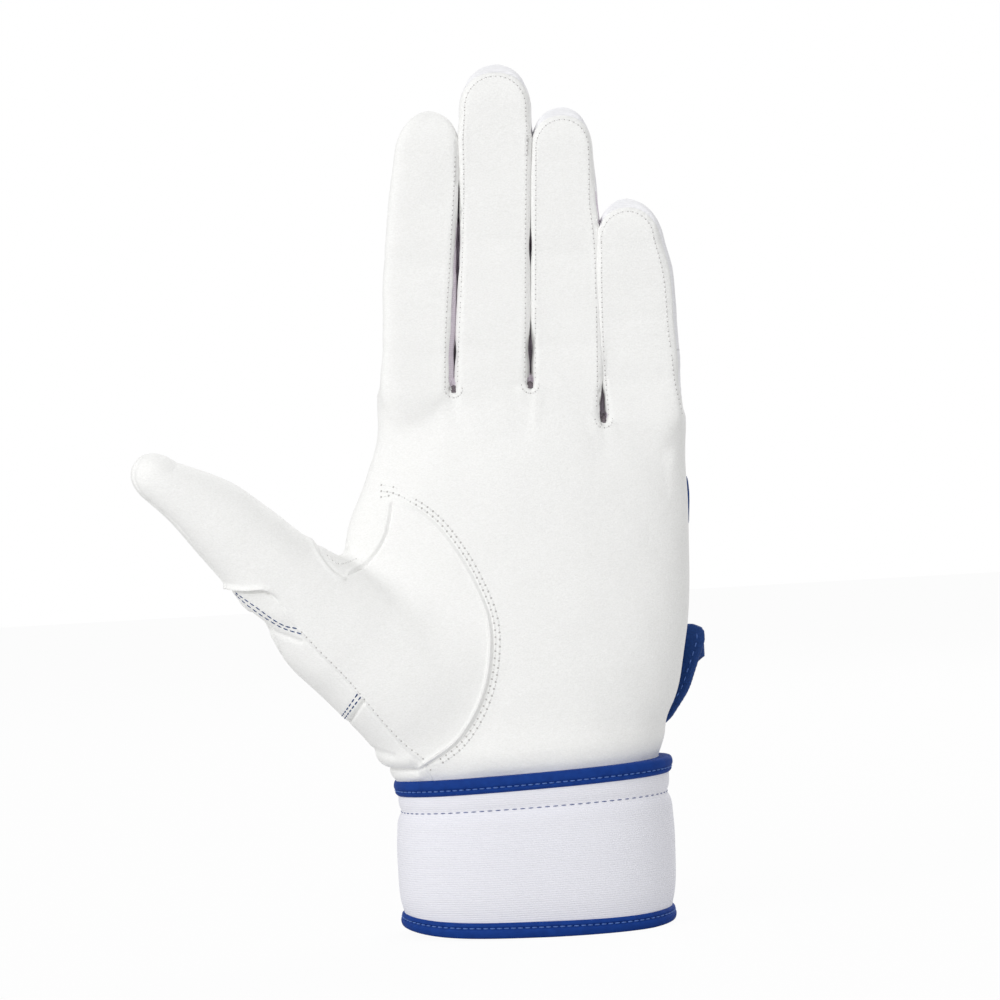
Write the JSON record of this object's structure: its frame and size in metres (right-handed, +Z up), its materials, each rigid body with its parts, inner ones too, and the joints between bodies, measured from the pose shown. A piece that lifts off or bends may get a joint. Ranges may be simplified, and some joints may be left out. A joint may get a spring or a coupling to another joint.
{
  "type": "batting glove",
  "caption": "Left-hand batting glove with a white leather palm, stretch finger sides, a ribbed knit cuff with blue bindings and a closing strap; fingers and thumb bend.",
  "frame": {"origin": "middle of the bounding box on the plane that the cuff stands on", "axes": "+Z up along the fingers, +X from the thumb side towards the little finger, -Y out of the palm"},
  "size_m": [0.1476, 0.0484, 0.2257],
  "materials": {
    "white_leather": "soft suede-like synthetic leather, matte",
    "stretch_knit": "lilac white stretch knit, matte",
    "cuff_knit": "ribbed elastic knit, matte",
    "blue_binding": "woven blue binding tape",
    "blue_leather": "smooth blue synthetic leather, satin",
    "hook_and_loop": "hook and loop pads"
  },
  "bodies": {
    "hand": {"palm_panel": "white_leather", "thumb_base_panel": "white_leather", "thumb_side_panel": "white_leather", "knuckle_panel": "stretch_knit", "back_hand_panel": "white_leather", "wrist_gusset": "stretch_knit", "fourchette_index_middle": "stretch_knit", "fourchette_middle_ring": "stretch_knit", "fourchette_ring_little": "stretch_knit", "cuff_band": "cuff_knit", "cuff_bottom_binding": "blue_binding", "cuff_top_binding": "blue_binding", "loop_patch": "hook_and_loop"},
    "thumb": {"thumb_front": "white_leather", "thumb_back": "white_leather"},
    "strap": {"strap": "blue_leather", "hook_patch": "hook_and_loop", "pull_tab": "blue_leather"},
    "index_lower": {"index_lower_front": "white_leather", "index_lower_back": "stretch_knit", "index_lower_fourchette_right": "stretch_knit"},
    "index_upper": {"index_upper_front": "white_leather", "index_upper_back": "stretch_knit", "index_upper_fourchette_right": "stretch_knit"},
    "middle_lower": {"middle_lower_front": "white_leather", "middle_lower_back": "stretch_knit", "middle_lower_fourchette_left": "stretch_knit", "middle_lower_fourchette_right": "stretch_knit"},
    "middle_upper": {"middle_upper_front": "white_leather", "middle_upper_back": "stretch_knit", "middle_upper_fourchette_left": "stretch_knit", "middle_upper_fourchette_right": "stretch_knit"},
    "ring_lower": {"ring_lower_front": "white_leather", "ring_lower_back": "stretch_knit", "ring_lower_fourchette_left": "stretch_knit", "ring_lower_fourchette_right": "stretch_knit"},
    "ring_upper": {"ring_upper_front": "white_leather", "ring_upper_back": "stretch_knit", "ring_upper_fourchette_left": "stretch_knit", "ring_upper_fourchette_right": "stretch_knit"},
    "little_lower": {"little_lower_front": "white_leather", "little_lower_back": "stretch_knit", "little_lower_fourchette_left": "stretch_knit"},
    "little_upper": {"little_upper_front": "white_leather", "little_upper_back": "stretch_knit", "little_upper_fourchette_left": "stretch_knit"}
  },
  "joints": [
    {"name": "index_base", "type": "hinge", "parent": "hand", "child": "index_lower", "pos_m": [0.00107, -0.00549, 0.14946], "axis": [0.9946, 0, -0.1036], "range_deg": [0, 70]},
    {"name": "index_middle", "type": "hinge", "parent": "index_lower", "child": "index_upper", "pos_m": [0.00366, -0.00594, 0.17432], "axis": [0.9946, 0, -0.1036], "range_deg": [0, 80]},
    {"name": "middle_base", "type": "hinge", "parent": "hand", "child": "middle_lower", "pos_m": [0.02055, -0.00574, 0.14948], "axis": [0.9976, 0, -0.0698], "range_deg": [0, 70]},
    {"name": "middle_middle", "type": "hinge", "parent": "middle_lower", "child": "middle_upper", "pos_m": [0.02264, -0.00631, 0.17941], "axis": [0.9976, 0, -0.0698], "range_deg": [0, 80]},
    {"name": "ring_base", "type": "hinge", "parent": "hand", "child": "ring_lower", "pos_m": [0.03971, -0.0053, 0.14949], "axis": [0.9992, 0, -0.0398], "range_deg": [0, 70]},
    {"name": "ring_middle", "type": "hinge", "parent": "ring_lower", "child": "ring_upper", "pos_m": [0.04074, -0.00581, 0.17547], "axis": [0.9992, 0, -0.0398], "range_deg": [0, 80]},
    {"name": "little_base", "type": "hinge", "parent": "hand", "child": "little_lower", "pos_m": [0.05826, -0.00486, 0.1395], "axis": [0.9997, 0, 0.0262], "range_deg": [0, 70]},
    {"name": "little_middle", "type": "hinge", "parent": "little_lower", "child": "little_upper", "pos_m": [0.05779, -0.00525, 0.15749], "axis": [0.9997, 0, 0.0262], "range_deg": [0, 80]},
    {"name": "thumb_fold", "type": "hinge", "parent": "hand", "child": "thumb", "pos_m": [-0.03457, -0.01947, 0.09429], "axis": [0.6691, 0, 0.7431], "range_deg": [0, 50]},
    {"name": "strap_open", "type": "hinge", "parent": "hand", "child": "strap", "pos_m": [0.00117, 0.01654, 0.06475], "axis": [0, 0, 1], "range_deg": [0, 100]}
  ]
}
